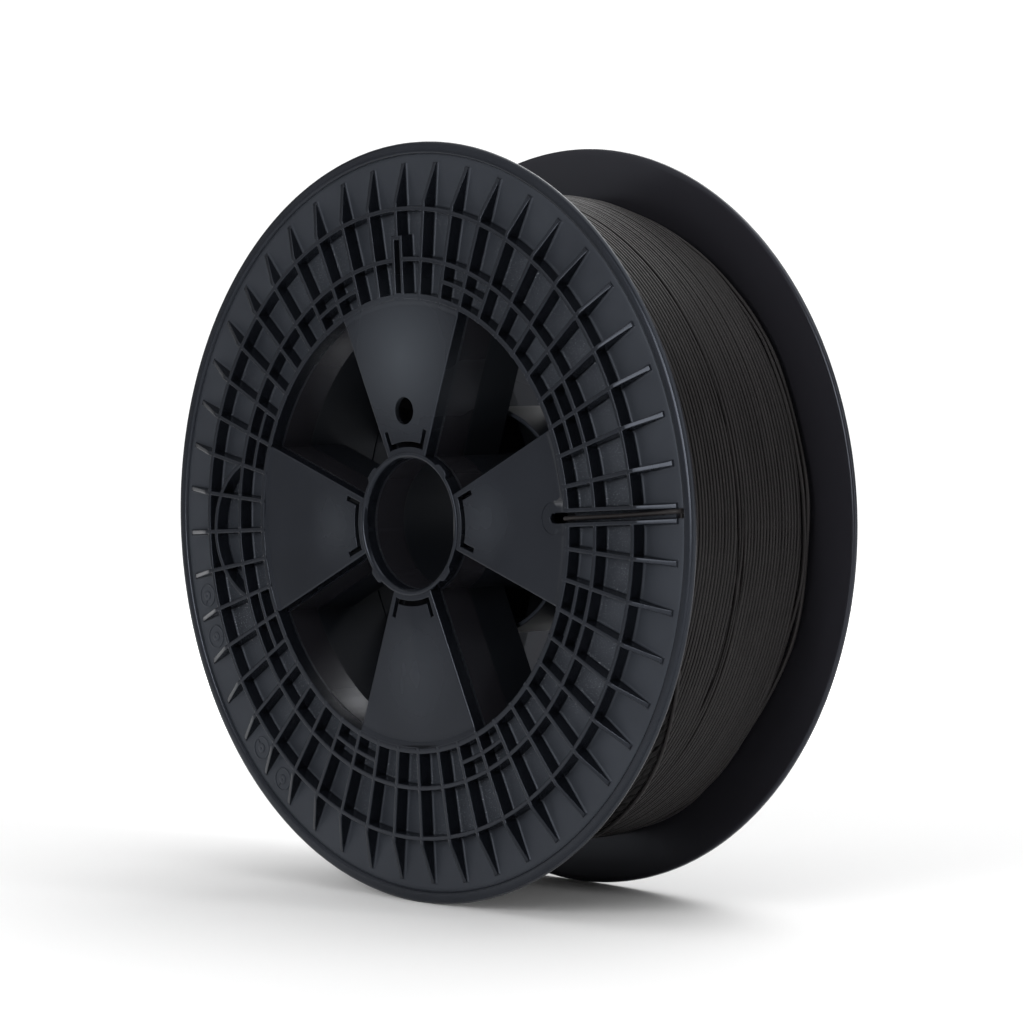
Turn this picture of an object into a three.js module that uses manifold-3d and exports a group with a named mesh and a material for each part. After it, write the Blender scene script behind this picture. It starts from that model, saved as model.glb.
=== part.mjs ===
// Filament spool: two moulded halves that plug together at the middle, wound with 1.75 mm filament.
// Millimetres, +Z up. The spool's axis is Y, its front faces -Y, and the origin is the middle of the
// bore. Each half is built in its own frame, where Z is the height above the spool's middle plane, and
// is then turned into place.
import * as THREE from 'three';
import { mergeVertices } from 'three/addons/utils/BufferGeometryUtils.js';
import Module from 'manifold-3d';

const wasm = await Module();
wasm.setup();

// Driving dimensions of the spool, from a 300 mm spool with a 51.5 mm bore.
const RIM_RADIUS = 150;
const BORE_RADIUS = 25.75;
const DRIVE_HOLE_RADIUS = 5.3;
const DRIVE_HOLE_PITCH = 44.5;
const DRUM_RADIUS = 90.5;
const WOUND_RADIUS = 131;
const FILAMENT_DIAMETER = 1.75;

// Heights above the middle plane.
const RIB_TOP = 51;
const SPOKE_TOP = 50.5;
const RIM_FACE = 46;
const FLOOR = 45;
const WALL_INSIDE = 43;
const HALF_GAP = 0.15;

// Radii and thicknesses of the rings and ribs.
const WINDOW_RADIUS = 88.2;
const RING_C = { inner: 95.9, outer: 97.7 };
const RING_B = { inner: 103, outer: 104.9 };
const RING_A = { inner: 122.8, outer: 124.6 };
const RIB_THICKNESS = 1.8;
const RIB_BEND_RADIUS = 126.5;
const RIB_END_RADIUS = 142;
const RIB_END_RISE = 0.7;
const WALL_EDGE_RADIUS = 144;
const BEAD_RADIUS = 145;
const HUB_RADIUS = 28.3;
const SPOKE_THICKNESS = 2;
const SPOKE_HALF_ANGLE = 22.5;
const WEB_THICKNESS = 1.6;
const WEB_DEPTH = 11;
const COLLAR = { inner: 43.8, outer: 45.6, bottom: -8, floor: 26.4, top: 28 };
const LAP = { length: 6, radius: 89.3 };
const REAR_TURN = 45;
const GAP = 0.3;
const SUNK = 0.5;
const DRUM_INSET = 0.6;
const MERGE_TOLERANCE = 0.001;

// The slot for the filament's first end, the channel for its last end, the C-shaped slots beside the
// hub, the hub's four lobes and the curved rib.
const START_SLOT = { width: 3, wall: 1.6, start: 90.8, open: 111.7, end: 113.5 };
const CHANNEL = { width: 3.8, wall: 1.7, start: 79.7, notchInner: 141, notchOuter: 145 };
const TONGUE = { inner: 30.8, outer: 32.4, halfAngle: 16.5, legEnd: 38, legWidth: 1.8, lean: 4 };
const LOBE = { outer: 29.8, halfAngle: 6 };
const ARC_RIB = { radius: 29.5, centre: 90, reach: 66 };

const RIB_COUNT = 48;
const RIB_STEP = 360 / RIB_COUNT;
const FACETS = RIB_COUNT;

const radians = THREE.MathUtils.degToRad;

// ---- Solids ----

// A closed geometry becomes a solid that can be joined and cut.
function solid(geometry) {
  geometry.deleteAttribute('normal');
  geometry.deleteAttribute('uv');
  const merged = mergeVertices(geometry, 1e-4);
  const mesh = new wasm.Mesh({
    numProp: 3,
    vertProperties: new Float32Array(merged.attributes.position.array),
    triVerts: new Uint32Array(merged.index.array),
  });
  return new wasm.Manifold(mesh);
}

// A solid goes back to a geometry, with the faces that lie in one plane merged.
function geometryOf(body) {
  const mesh = body.asOriginal().simplify(MERGE_TOLERANCE).getMesh();
  const geometry = new THREE.BufferGeometry();
  geometry.setAttribute('position', new THREE.BufferAttribute(mesh.vertProperties, 3));
  geometry.setIndex(new THREE.BufferAttribute(mesh.triVerts, 1));
  return geometry;
}

function joined(bodies) {
  return bodies.reduce((sum, body) => sum.add(body));
}

// A ring from a closed outline of [radius, height] points, counter-clockwise. Its flats, not its
// corners, lie at the stated radii. Its corners lie on the ribs' centre lines, or half a step away
// from them, where one flat then faces each of the four sides.
const HALF_STEP = Math.PI / FACETS;

function turned(outline, firstCorner = HALF_STEP) {
  const points = [...outline, outline[0]].map(
    ([radius, height]) => new THREE.Vector2(radius / Math.cos(HALF_STEP), height),
  );
  const geometry = new THREE.LatheGeometry(points, FACETS, firstCorner);
  geometry.rotateX(Math.PI / 2);
  return solid(geometry);
}

function tube(inner, outer, bottom, top) {
  return turned([[inner, bottom], [outer, bottom], [outer, top], [inner, top]]);
}

// A flat shape raised from one height to another.
function raised(shape, bottom, top, curveSegments = 6) {
  const geometry = new THREE.ExtrudeGeometry(shape, {
    depth: top - bottom,
    bevelEnabled: false,
    curveSegments,
  });
  geometry.translate(0, 0, bottom);
  return solid(geometry);
}

// An upright plate from an outline of [radius, height] points, standing along the direction at
// angle, moved sideways by offset.
function upright(outline, thickness, angle, offset = 0) {
  const shape = new THREE.Shape(outline.map(([radius, height]) => new THREE.Vector2(radius, height)));
  const geometry = new THREE.ExtrudeGeometry(shape, { depth: thickness, bevelEnabled: false });
  geometry.rotateX(Math.PI / 2);
  geometry.translate(0, offset + thickness / 2, 0);
  geometry.rotateZ(radians(angle));
  return solid(geometry);
}

function box(low, high) {
  const size = high.map((value, axis) => value - low[axis]);
  const middle = high.map((value, axis) => (value + low[axis]) / 2);
  const geometry = new THREE.BoxGeometry(...size);
  geometry.translate(...middle);
  return solid(geometry);
}

function polar(radius, degrees) {
  return new THREE.Vector2(
    radius * Math.cos(radians(degrees)),
    radius * Math.sin(radians(degrees)),
  );
}

// A piece of a ring between two angles.
function sector(inner, outer, start, end) {
  const shape = new THREE.Shape();
  shape.absarc(0, 0, outer, radians(start), radians(end), false);
  shape.absarc(0, 0, inner, radians(end), radians(start), true);
  return shape;
}

function atAngle(body, degrees) {
  return body.rotate([0, 0, degrees]);
}

// ---- The flange of a half: wall, rim, rings and ribs ----

// The rim with its rounded bead.
function rim() {
  return turned([
    [WALL_EDGE_RADIUS - 1, WALL_INSIDE],
    [RIM_RADIUS - 1, WALL_INSIDE],
    [RIM_RADIUS, WALL_INSIDE + 1],
    [RIM_RADIUS, RIM_FACE - 1],
    [RIM_RADIUS - 1, RIM_FACE],
    [BEAD_RADIUS + 0.8, RIM_FACE],
    [BEAD_RADIUS, FLOOR],
    [WALL_EDGE_RADIUS - 1, FLOOR],
  ]);
}

// The wall, rings A and B and the drum, turned as one outline.
function flangeDisc() {
  const outline = [
    [WINDOW_RADIUS, HALF_GAP],
    [DRUM_RADIUS, HALF_GAP],
    [DRUM_RADIUS, WALL_INSIDE],
    [WALL_EDGE_RADIUS, WALL_INSIDE],
    [WALL_EDGE_RADIUS, FLOOR],
    [RING_A.outer, FLOOR],
    [RING_A.outer, RIB_TOP],
    [RING_A.inner, RIB_TOP],
    [RING_A.inner, FLOOR],
    [RING_B.outer, FLOOR],
    [RING_B.outer, RIB_TOP],
    [RING_B.inner, RIB_TOP],
    [RING_B.inner, FLOOR],
    [DRUM_RADIUS, FLOOR],
    [DRUM_RADIUS, RIB_TOP],
    [WINDOW_RADIUS, RIB_TOP],
  ];
  return turned(outline, 0).add(rim());
}

// The side outline of a rib: flat on top, then falling to a low blunt end on the wall.
function ribOutline(start) {
  return [
    [start, FLOOR - SUNK],
    [RIB_END_RADIUS, FLOOR - SUNK],
    [RIB_END_RADIUS, FLOOR + RIB_END_RISE],
    [RIB_BEND_RADIUS, RIB_TOP],
    [start, RIB_TOP],
  ];
}

// Radial ribs, with the filament channel in place of the one at 0 degrees and the start slot in
// place of the inner end of the one at 90 degrees.
function radialRibs() {
  const fullStart = DRUM_RADIUS - DRUM_INSET;
  const ribs = [];
  for (let index = 1; index < RIB_COUNT; index += 1) {
    const angle = index * RIB_STEP;
    const start = angle === 90 ? START_SLOT.end : fullStart;
    ribs.push(upright(ribOutline(start), RIB_THICKNESS, angle));
  }
  return joined(ribs);
}

// Short arcs of the third ring, two to each quarter.
function ringCArcs() {
  const arcs = [];
  for (const start of [15, 60, 105, 150, 195, 240, 285, 330]) {
    const shape = sector(RING_C.inner, RING_C.outer, start, start + 2 * RIB_STEP);
    arcs.push(raised(shape, FLOOR - SUNK, RIB_TOP, 2));
  }
  return joined(arcs);
}

// A curved rib opposite the channel, part of a circle centred on the drum's edge.
function arcRib() {
  const half = RIB_THICKNESS / 2;
  const inner = ARC_RIB.radius - half;
  const shape = sector(inner, inner + RIB_THICKNESS, 180 - ARC_RIB.reach, 180 + ARC_RIB.reach);
  const body = raised(shape, FLOOR - SUNK, RIB_TOP, 12);
  return body.translate([-ARC_RIB.centre, 0, 0]);
}

// ---- The two slots through the flange ----

// The start slot at 90 degrees takes the filament's first end out beside the drum.
function startSlotWalls() {
  const half = START_SLOT.width / 2 + START_SLOT.wall;
  const low = [-half, DRUM_RADIUS - DRUM_INSET, FLOOR - SUNK];
  return box(low, [half, START_SLOT.end, RIB_TOP]);
}

function startSlotCut() {
  const half = START_SLOT.width / 2;
  return box([-half, START_SLOT.start, WALL_INSIDE - 2], [half, START_SLOT.open, RIB_TOP + 1]);
}

// The channel at 0 degrees holds the filament's last end. It runs from a hole in the spoke to a
// notch in the wall beside the bead.
function channelWalls() {
  const offset = (CHANNEL.width + CHANNEL.wall) / 2;
  const outline = ribOutline(DRUM_RADIUS - DRUM_INSET);
  return upright(outline, CHANNEL.wall, 0, offset).add(upright(outline, CHANNEL.wall, 0, -offset));
}

function channelCut() {
  const half = CHANNEL.width / 2;
  const roundEnd = new THREE.Shape();
  roundEnd.absarc(CHANNEL.start + half, 0, half, Math.PI / 2, 1.5 * Math.PI, false);
  roundEnd.lineTo(RING_A.outer + 1, -half);
  roundEnd.lineTo(RING_A.outer + 1, half);
  const slot = raised(roundEnd, FLOOR, RIB_TOP + 1, 8);
  const notch = box(
    [CHANNEL.notchInner, -half, WALL_INSIDE - 2],
    [CHANNEL.notchOuter, half, FLOOR + 1],
  );
  return slot.add(notch);
}

// ---- Hub and spokes ----

// A C-shaped slot near the hub, an arc with two legs that run outward.
function tongueSlot() {
  const { inner, outer, halfAngle } = TONGUE;
  const half = TONGUE.legWidth / 2;
  const middle = (inner + outer) / 2;
  const bottom = SPOKE_TOP - SPOKE_THICKNESS - 1;
  const arc = raised(sector(inner, outer, -halfAngle, halfAngle), bottom, RIB_TOP, 6);
  const leg = box([SUNK - middle + inner, -half, bottom], [TONGUE.legEnd - middle, half, RIB_TOP]);
  const legs = [1, -1].map((side) => {
    const foot = polar(middle, halfAngle * side);
    return atAngle(leg, (halfAngle + TONGUE.lean) * side).translate([foot.x, foot.y, 0]);
  });
  return joined([arc, ...legs]);
}

function spoke(angle) {
  const shape = sector(HUB_RADIUS - 1, WINDOW_RADIUS + 1, -SPOKE_HALF_ANGLE, SPOKE_HALF_ANGLE);
  const plate = raised(shape, SPOKE_TOP - SPOKE_THICKNESS, SPOKE_TOP, 6);
  return atAngle(plate.subtract(tongueSlot()), angle);
}

// The stiffening webs under a spoke, one along each of its straight edges.
function spokeWebs(angle) {
  const outline = [
    [HUB_RADIUS - 1, WEB_DEPTH],
    [WINDOW_RADIUS + 1, WEB_DEPTH],
    [WINDOW_RADIUS + 1, SPOKE_TOP - 0.5],
    [HUB_RADIUS - 1, SPOKE_TOP - 0.5],
  ];
  const offset = WEB_THICKNESS / 2;
  const first = upright(outline, WEB_THICKNESS, angle - SPOKE_HALF_ANGLE, offset);
  return first.add(upright(outline, WEB_THICKNESS, angle + SPOKE_HALF_ANGLE, -offset));
}

function hub() {
  const chamfer = 1.2;
  const outline = [
    [BORE_RADIUS, HALF_GAP],
    [HUB_RADIUS, HALF_GAP],
    [HUB_RADIUS, RIB_TOP],
    [BORE_RADIUS + chamfer, RIB_TOP],
    [BORE_RADIUS, RIB_TOP - chamfer],
  ];
  const lobe = sector(HUB_RADIUS - 1, LOBE.outer, -LOBE.halfAngle, LOBE.halfAngle);
  const raisedLobe = raised(lobe, SPOKE_TOP - SPOKE_THICKNESS, RIB_TOP, 3);
  const lobes = [45, 135, 225, 315].map((angle) => atAngle(raisedLobe, angle));
  return joined([turned(outline), ...lobes]);
}

// A disc centred on the driving hole, between two heights.
function driveDisc(radius, bottom, top) {
  const geometry = new THREE.CylinderGeometry(radius, radius, top - bottom, 24);
  geometry.rotateX(Math.PI / 2);
  geometry.translate(0, DRIVE_HOLE_PITCH, (bottom + top) / 2);
  return solid(geometry);
}

function driveHole() {
  return driveDisc(DRIVE_HOLE_RADIUS, SPOKE_TOP - SPOKE_THICKNESS - 1, RIB_TOP + 1);
}

// The raised lip round the driving hole.
function driveHoleLip() {
  return driveDisc(DRIVE_HOLE_RADIUS + 1, SPOKE_TOP - 0.7, SPOKE_TOP + 0.3);
}

// ---- The two halves ----

function half() {
  const angles = [0, 90, 180, 270];
  const body = joined([
    flangeDisc(),
    radialRibs(),
    ringCArcs(),
    arcRib(),
    startSlotWalls(),
    channelWalls(),
    hub(),
    driveHoleLip(),
    ...angles.map((angle) => spoke(angle)),
    ...angles.map((angle) => spokeWebs(angle)),
  ]);
  return body.subtract(joined([driveHole(), startSlotCut(), channelCut()]));
}

// The front half ends in a thin spigot that plugs into the rear half's drum.
function frontHalf() {
  const spigot = tube(WINDOW_RADIUS, LAP.radius - GAP / 2, -LAP.length, HALF_GAP + 1);
  return half().add(spigot);
}

// The rear half's drum has the matching socket, and its hub carries a collar that reaches into the
// front half. The rear half is plugged in with its spokes behind the front windows.
function rearHalf() {
  const socket = tube(WINDOW_RADIUS - 1, LAP.radius + GAP / 2, HALF_GAP - 1, LAP.length + GAP);
  const collar = tube(COLLAR.inner, COLLAR.outer, COLLAR.bottom, COLLAR.top);
  const collarFloor = tube(HUB_RADIUS - SUNK, COLLAR.outer - SUNK, COLLAR.floor, COLLAR.top);
  const body = half().subtract(socket).add(collar).add(collarFloor);
  return atAngle(body, REAR_TURN);
}

// ---- The filament ----

// The wound filament, as one ring that fills the spool from the drum to its last layer.
function winding() {
  const inner = DRUM_RADIUS + GAP;
  const front = WALL_INSIDE - 0.5 - GAP;
  const rear = -39.6;
  const slopeDepth = 14;
  const round = FILAMENT_DIAMETER / 2;
  return turned([
    [inner, -front],
    [WOUND_RADIUS - slopeDepth, -front],
    [WOUND_RADIUS - round, rear],
    [WOUND_RADIUS, rear + round],
    [WOUND_RADIUS, front - round],
    [WOUND_RADIUS - round, front],
    [inner, front],
  ]);
}

// A point beside the winding, by its radius, its angle seen from the front and its height.
function around(radius, degrees, height) {
  const flat = polar(radius, degrees);
  return new THREE.Vector3(flat.x, flat.y, height);
}

// The filament's last turn and end. It comes off the winding, crosses it to the front flange,
// leaves through the notch beside the bead and lies in the channel up to the hole in the spoke.
function filamentEnd() {
  const resting = WOUND_RADIUS + GAP + FILAMENT_DIAMETER;
  const path = new THREE.CatmullRomCurve3([
    around(resting, -118, -18.6),
    around(resting, -112, -18),
    around(resting, -96, -14),
    around(resting, -75, -7),
    around(resting, -60, 1.5),
    around(resting, -46, 10),
    around(resting, -32, 20),
    around(resting + 0.6, -20, 29),
    around(135.6, -11, 35.6),
    around(140, -4.5, 39.5),
    around(143, -0.7, 41.6),
    around(143.5, 0.25, 43.2),
    around(143.1, 0.3, FLOOR + 0.4),
    around(140.3, 0.3, FLOOR + 1.6),
    around(132, 0.2, FLOOR + 1.5),
    around(112, 0, FLOOR + 1.7),
    around(96, -0.1, FLOOR + 2.2),
    around(85.6, -0.2, FLOOR + 3.2),
  ]);
  const section = new THREE.Shape();
  section.absarc(0, 0, FILAMENT_DIAMETER / 2, 0, 2 * Math.PI, false);
  const geometry = new THREE.ExtrudeGeometry(section, {
    extrudePath: path,
    steps: 80,
    curveSegments: 4,
    bevelEnabled: false,
  });
  return solid(geometry);
}

// ---- The assembly ----

function named(name, body, colour, roughness) {
  const material = new THREE.MeshStandardMaterial({ color: colour, roughness, metalness: 0 });
  const mesh = new THREE.Mesh(geometryOf(body), material);
  mesh.name = name;
  return mesh;
}

const MOULDING_COLOUR = 0x2b2f36;
const FILAMENT_COLOUR = 0x1f1c1b;

const facingFront = new THREE.Group();
facingFront.rotation.x = Math.PI / 2;
facingFront.add(named('front_half', frontHalf(), MOULDING_COLOUR, 0.45));
facingFront.add(named('filament_winding', winding(), FILAMENT_COLOUR, 0.7));
facingFront.add(named('filament_end', filamentEnd(), FILAMENT_COLOUR, 0.7));

const facingRear = new THREE.Group();
facingRear.rotation.x = Math.PI / 2;
facingRear.add(named('rear_half', rearHalf(), MOULDING_COLOUR, 0.45));

const turnedRound = new THREE.Group();
turnedRound.rotation.z = Math.PI;
turnedRound.add(facingRear);

const spool = new THREE.Group();
spool.add(facingFront);
spool.add(turnedRound);

export default spool;
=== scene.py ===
"""Filament spool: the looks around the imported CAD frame. Metres, +Z up, the spool's axis is Y.

Shapes are worked out in the same local frame as the CAD's halves: u and v across the flange and h,
the height above the spool's middle plane, in millimetres. turned_into_place() gives world metres.
The rear half is the front one's twin, turned over and round by REAR_TURN.
"""

import math

import bpy
import numpy as np
from mathutils import Matrix, Vector


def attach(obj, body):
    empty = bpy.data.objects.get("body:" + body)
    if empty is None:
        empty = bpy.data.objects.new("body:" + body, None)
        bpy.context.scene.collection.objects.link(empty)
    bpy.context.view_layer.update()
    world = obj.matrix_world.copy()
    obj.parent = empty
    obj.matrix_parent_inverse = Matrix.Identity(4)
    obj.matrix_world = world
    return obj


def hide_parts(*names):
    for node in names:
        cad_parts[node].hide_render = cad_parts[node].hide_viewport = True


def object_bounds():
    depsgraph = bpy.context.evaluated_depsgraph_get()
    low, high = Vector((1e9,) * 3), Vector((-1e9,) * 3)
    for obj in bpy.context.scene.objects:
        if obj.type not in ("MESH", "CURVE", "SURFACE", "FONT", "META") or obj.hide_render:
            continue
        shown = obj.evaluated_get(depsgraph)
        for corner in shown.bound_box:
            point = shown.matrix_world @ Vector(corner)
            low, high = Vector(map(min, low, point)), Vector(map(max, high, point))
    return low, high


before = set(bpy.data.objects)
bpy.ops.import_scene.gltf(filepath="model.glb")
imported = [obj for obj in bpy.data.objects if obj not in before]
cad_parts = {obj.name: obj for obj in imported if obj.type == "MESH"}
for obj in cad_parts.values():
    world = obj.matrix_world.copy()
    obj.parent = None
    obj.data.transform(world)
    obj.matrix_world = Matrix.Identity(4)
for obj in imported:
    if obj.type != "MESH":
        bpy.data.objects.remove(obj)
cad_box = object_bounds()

MM = 0.001

# Driving dimensions, the same as the CAD's, in millimetres and degrees.
RIM_RADIUS = cad_box[1].x / MM
RIB_TOP = cad_box[1].y / MM
BORE_RADIUS = 25.75
HUB_RADIUS = 28.3
DRIVE_HOLE_RADIUS = 5.3
DRIVE_HOLE_PITCH = 44.5
DRUM_RADIUS = 90.5
WINDOW_RADIUS = 88.2
WOUND_RADIUS = 131.0
FILAMENT_DIAMETER = 1.75
STRAND_PITCH = 1.73

SPOKE_TOP = 50.5
SPOKE_THICKNESS = 2.0
SPOKE_HALF_ANGLE = math.radians(22.5)
WEB_THICKNESS = 1.6
WEB_END = 11.0
RIM_FACE = 46.0
FLOOR = 45.0
WALL_INSIDE = 43.0
HALF_GAP = 0.15
REAR_TURN = 45.0

# Ring ribs as (inner, outer) radius. Ring C is eight arcs, each two rib steps long. The radial ribs
# are level out to the bend.
RING_C = (95.9, 97.7)
RING_B = (103.0, 104.9)
RING_A = (122.8, 124.6)
RING_C_STARTS = (15, 60, 105, 150, 195, 240, 285, 330)
RIB_HALF = 0.9
RIB_BEND_RADIUS = 126.5
RIB_END_RADIUS = 142.0
RIB_END_RISE = 0.7
RIB_STEP = 7.5

# The channel for the strand's last end at 0 degrees with its notch in the rim, the slot for its
# first end at 90 degrees (start, end and end of the block round it), and the rib at 180 degrees.
CHANNEL_HALF = 1.9
CHANNEL_WALL = 1.7
CHANNEL_START = 79.7
NOTCH = (141.0, 145.2)
START_SLOT_HALF = 1.5
START_SLOT_WALL = 1.6
START_SLOT = (90.8, 111.7, 113.5)
ARC_RIB_RADIUS = 29.5
ARC_RIB_CENTRE = -90.0
ARC_RIB_REACH = 66.0

DIAL_RADIUS = 136.6
DIAL_ANGLES = (191.25, 198.75, 221.25, 228.75)


# ---- Meshes ----

def mesh_object(name, points, faces):
    """A mesh object in the local frame, with its faces turned outward."""
    points = np.asarray(points, float)
    faces = [list(face) for face in faces]
    volume = 0.0
    for face in faces:
        a = points[face[0]]
        for b, c in zip(face[1:-1], face[2:]):
            volume += a @ np.cross(points[b], points[c])
    if volume < 0:
        faces = [face[::-1] for face in faces]
    mesh = bpy.data.meshes.new(name)
    mesh.from_pydata(points.tolist(), [], faces)
    made = bpy.data.objects.new(name, mesh)
    bpy.context.scene.collection.objects.link(made)
    return made


def grid_faces(rows, columns, close_rows):
    """Quads between neighbouring rows of points, each row closed on itself."""
    index = np.arange(rows * columns).reshape(rows, columns)
    upper = index if close_rows else index[:-1]
    lower = np.roll(index, -1, 0) if close_rows else index[1:]
    quads = np.stack([upper, lower, np.roll(lower, -1, 1), np.roll(upper, -1, 1)], -1)
    return quads.reshape(-1, 4).tolist()


def ring_mesh(name, grid):
    """A closed ring from rows of points: the rows go round the section and the columns round the axis."""
    rows, columns = grid.shape[:2]
    return mesh_object(name, grid.reshape(-1, 3), grid_faces(rows, columns, True))


def loft_mesh(name, grid):
    """A closed bar from sections that follow one another, with a cap at each end."""
    sections, around = grid.shape[:2]
    faces = grid_faces(sections, around, False)
    last = (sections - 1) * around
    faces.append(list(range(around)))
    faces.append(list(range(last, last + around))[::-1])
    return mesh_object(name, grid.reshape(-1, 3), faces)


def lathe(name, outline, columns, widen=None):
    """A ring turned from a closed outline of (radius, height) points. widen(angle, radius, height)
    may move a point outward."""
    angles = np.arange(columns) * 2 * math.pi / columns
    grid = np.zeros((len(outline), columns, 3))
    for row, (radius, height) in enumerate(outline):
        reach = radius + (widen(angles, radius, height) if widen else 0 * angles)
        grid[row] = np.stack([reach * np.cos(angles), reach * np.sin(angles), height + 0 * angles], -1)
    return ring_mesh(name, grid)


def polar(radius, angle):
    """(u, v) at a radius and an angle in radians."""
    return np.array([radius * math.cos(angle), radius * math.sin(angle)])


def arc(centre, radius, start, end, steps):
    """Points along an arc, from one angle in degrees to another."""
    return [np.asarray(centre) + polar(radius, math.radians(a)) for a in np.linspace(start, end, steps)]


def offset_outline(outline, distance):
    """A closed counter-clockwise outline, moved outward by a small distance."""
    points = np.asarray(outline, float)
    before = points - np.roll(points, 1, 0)
    after = np.roll(points, -1, 0) - points
    normals = []
    for edge in (before, after):
        edge = edge / np.linalg.norm(edge, axis=1)[:, None]
        normals.append(np.stack([edge[:, 1], -edge[:, 0]], -1))
    middle = normals[0] + normals[1]
    scale = 2 / np.maximum((middle * middle).sum(1), 0.8)
    return points + middle * scale[:, None] * distance


def cutter(name, outline, bottom, top, flare=0.3):
    """A cutting body from a counter-clockwise outline. It widens round the top face, so that the cut
    has a rounded edge there."""
    levels = [(bottom, 0.0), (top - flare, 0.0)]
    for turn in (30, 60, 90):
        a = math.radians(turn)
        levels.append((top - flare + flare * math.sin(a), flare * (1 - math.cos(a))))
    levels.append((top + 2, flare))
    grid = [
        np.column_stack([offset_outline(outline, out), np.full(len(outline), height)])
        for height, out in levels
    ]
    return loft_mesh(name, np.array(grid))


def joined(name, parts):
    """Separate closed bodies as one mesh."""
    points, faces = [], []
    for part in parts:
        start = len(points)
        points += [tuple(v.co) for v in part.data.vertices]
        faces += [[start + i for i in polygon.vertices] for polygon in part.data.polygons]
        bpy.data.objects.remove(part)
    return mesh_object(name, points, faces)


def combine(target, other, operation):
    """Cuts other out of target, or adds it, and removes other."""
    modifier = target.modifiers.new("combine", "BOOLEAN")
    modifier.operation = operation
    modifier.object = other
    modifier.solver = "MANIFOLD"
    depsgraph = bpy.context.evaluated_depsgraph_get()
    result = bpy.data.meshes.new_from_object(target.evaluated_get(depsgraph))
    target.modifiers.clear()
    target.data = result
    bpy.data.objects.remove(other)


def turned_into_place(piece, rear=False):
    """Takes a mesh from the local frame to world metres."""
    side = -1 if rear else 1
    if rear:
        piece.data.transform(Matrix.Rotation(math.radians(REAR_TURN), 4, "Z"))
    piece.data.transform(
        Matrix(((side * MM, 0, 0, 0), (0, 0, -side * MM, 0), (0, MM, 0, 0), (0, 0, 0, 1)))
    )
    piece.data.update()
    return piece


def shade(piece, sharp_degrees):
    """Smooth shading that keeps flat faces flat."""
    piece.data.polygons.foreach_set("use_smooth", [True] * len(piece.data.polygons))
    piece.data.set_sharp_from_angle(angle=math.radians(sharp_degrees))
    weighted = piece.modifiers.new("weighted", "WEIGHTED_NORMAL")
    weighted.keep_sharp = True


# ---- The flange ----

# Distances outside a raised edge where the grid has a line: the rounded edge, the wall and its foot.
EDGE_LINES = (-0.3, -0.08, 0.02, 0.1, 0.25, 0.6, 1.1)


def wall_profile(outside, height):
    """The height of a rib or ring over the wall, by the distance outside its edge."""
    top = np.interp(outside, [-0.3, -0.08, 0.02, 0.1], [1, 0.975, 0.9, 0])
    foot = np.interp(outside, [0.02, 0.1, 0.25, 0.6, 1.1], [1.2, 0.8, 0.45, 0.12, 0])
    return np.maximum(height * top, np.minimum(foot, height))


def rib_height(radius):
    """The ribs are level out to the bend, then fall to a low blunt end."""
    falling = np.interp(radius, [RIB_BEND_RADIUS, RIB_END_RADIUS], [RIB_TOP - FLOOR, RIB_END_RISE])
    end = np.interp(radius - RIB_END_RADIUS, [-0.3, -0.05, 0.1], [1, 0.85, 0])
    return falling * end


def flange_columns():
    """Lines across the flange's face as (rib angle, distance, turn): beside a rib by a distance, or
    past it by a turn in degrees."""
    columns = []
    for index in range(int(360 / RIB_STEP)):
        angle = index * RIB_STEP
        edges = [RIB_HALF + line for line in EDGE_LINES]
        if angle == 0:
            edges = [CHANNEL_HALF - line for line in EDGE_LINES[::-1]]
            edges += [CHANNEL_HALF + CHANNEL_WALL + line for line in EDGE_LINES]
        elif angle == 90:
            edges += [START_SLOT_HALF + START_SLOT_WALL + line for line in EDGE_LINES]
        sides = sorted([-edge for edge in edges] + edges)
        columns += [(angle, side, 0.0) for side in sides]
        turns = (2.7, 3.75, 4.8)
        if angle in (0, 90):
            turns = turns[1:]
        elif (angle + RIB_STEP) % 360 in (0, 90):
            turns = turns[:-1]
        columns += [(angle, 0.0, turn) for turn in turns]
    return columns


def relief(radius, side, angle, rib=None):
    """How far the flange's face stands over its wall at a point, from its radius, its distance
    beside the nearest rib, its angle and that rib's angle where the rib is a special one."""
    full = RIB_TOP - FLOOR
    rings = wall_profile(np.maximum(radius - DRUM_RADIUS, WINDOW_RADIUS - radius), full)
    for inner, outer in (RING_B, RING_A):
        rings = np.maximum(rings, wall_profile(np.maximum(radius - outer, inner - radius), full))
    in_arc = np.zeros(radius.shape, bool)
    for start in RING_C_STARTS:
        in_arc |= (angle >= start) & (angle <= start + 2 * RIB_STEP)
    ring_c = wall_profile(np.maximum(radius - RING_C[1], RING_C[0] - radius), full)
    rings = np.maximum(rings, np.where(in_arc, ring_c, 0))
    away = np.abs(side)
    if rib == 0:
        rings = np.where(away < CHANNEL_HALF, 0, rings)
        middle = CHANNEL_HALF + CHANNEL_WALL / 2
        outside = np.abs(away - middle) - CHANNEL_WALL / 2
        return np.maximum(rings, wall_profile(outside, rib_height(radius)))
    ribs = wall_profile(away - RIB_HALF, rib_height(radius))
    if rib == 90:
        block = np.maximum(away - START_SLOT_HALF - START_SLOT_WALL, radius - START_SLOT[2])
        ribs = np.maximum(ribs, wall_profile(block, full))
    return np.maximum(rings, ribs)


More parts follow.
